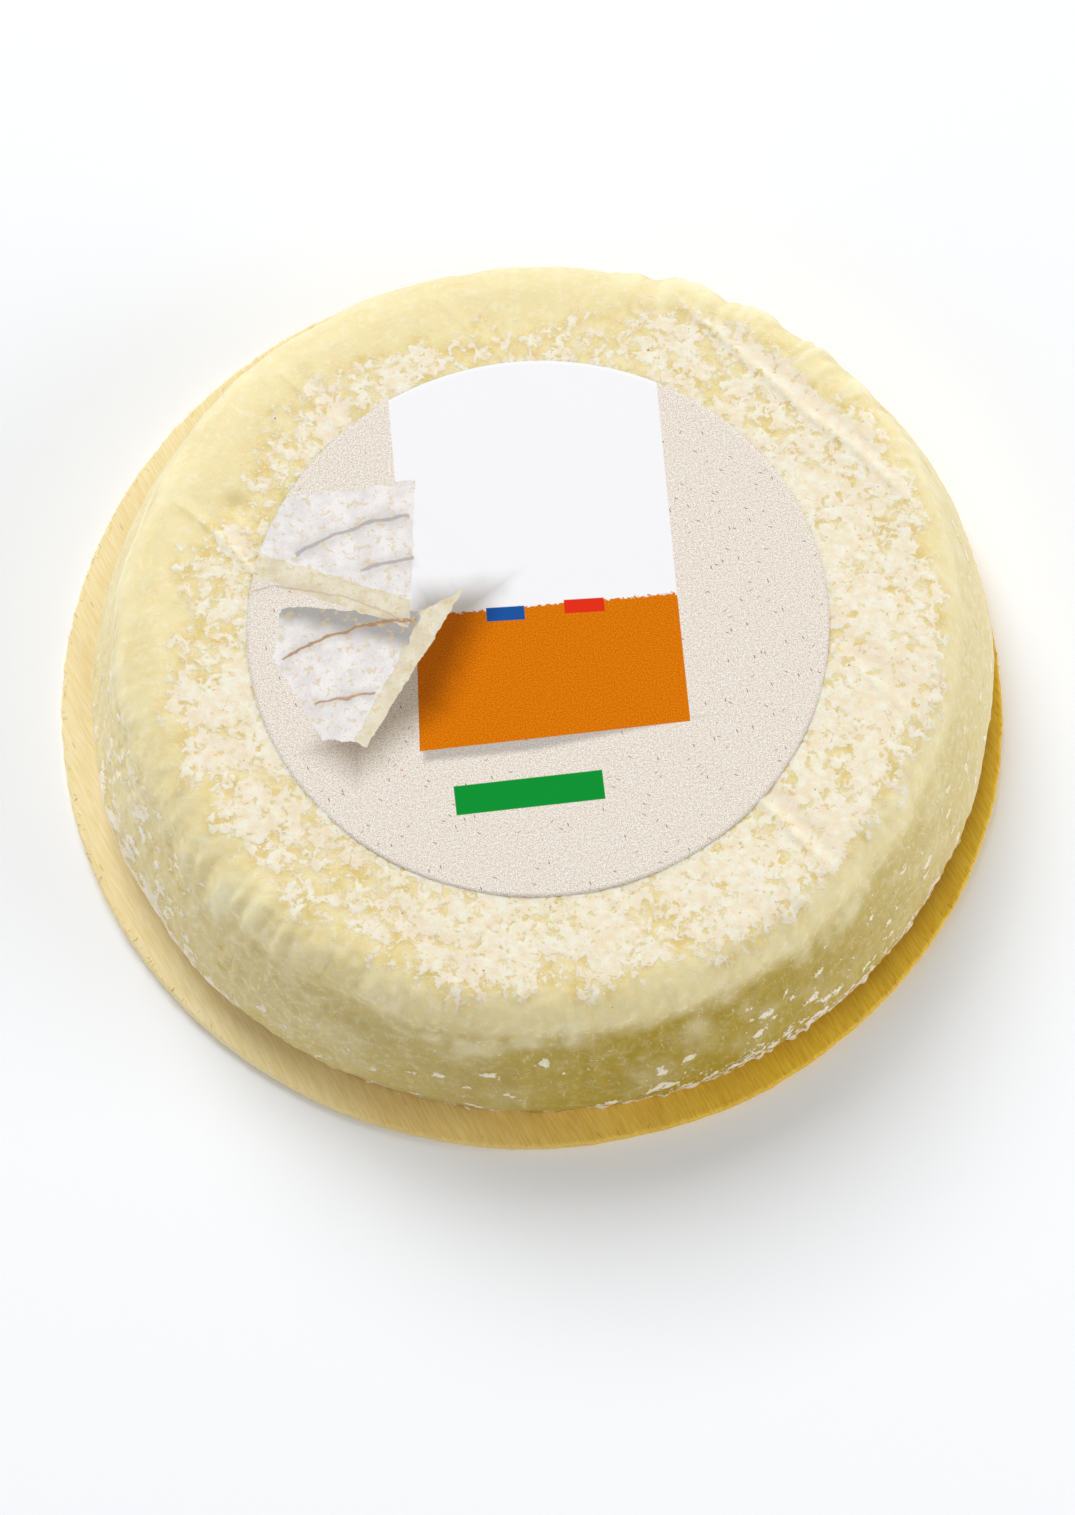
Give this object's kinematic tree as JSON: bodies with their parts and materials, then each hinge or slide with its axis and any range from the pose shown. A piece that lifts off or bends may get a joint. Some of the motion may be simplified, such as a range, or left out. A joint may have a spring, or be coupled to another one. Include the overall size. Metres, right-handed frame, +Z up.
{
  "type": "cheese wheel",
  "caption": "Small soft-ripened cheese wheel with a slumped shoulder and mottled bloomy rind, on a thin wooden round, with a plain round paper label on top.",
  "frame": {"origin": "middle of the wooden round's underside, on the surface that it rests on", "axes": "+Z up out of the cheese's top face; +Y towards the top of the label; +X to the label's right"},
  "size_m": [0.106, 0.106, 0.0218],
  "materials": {
    "poplar_wood": "matte",
    "cheese_rind": "satin",
    "label_paper": "matte"
  },
  "bodies": {
    "root": {"wooden_round": "poplar_wood", "cheese": "cheese_rind", "paper_label": "label_paper"}
  },
  "joints": []
}
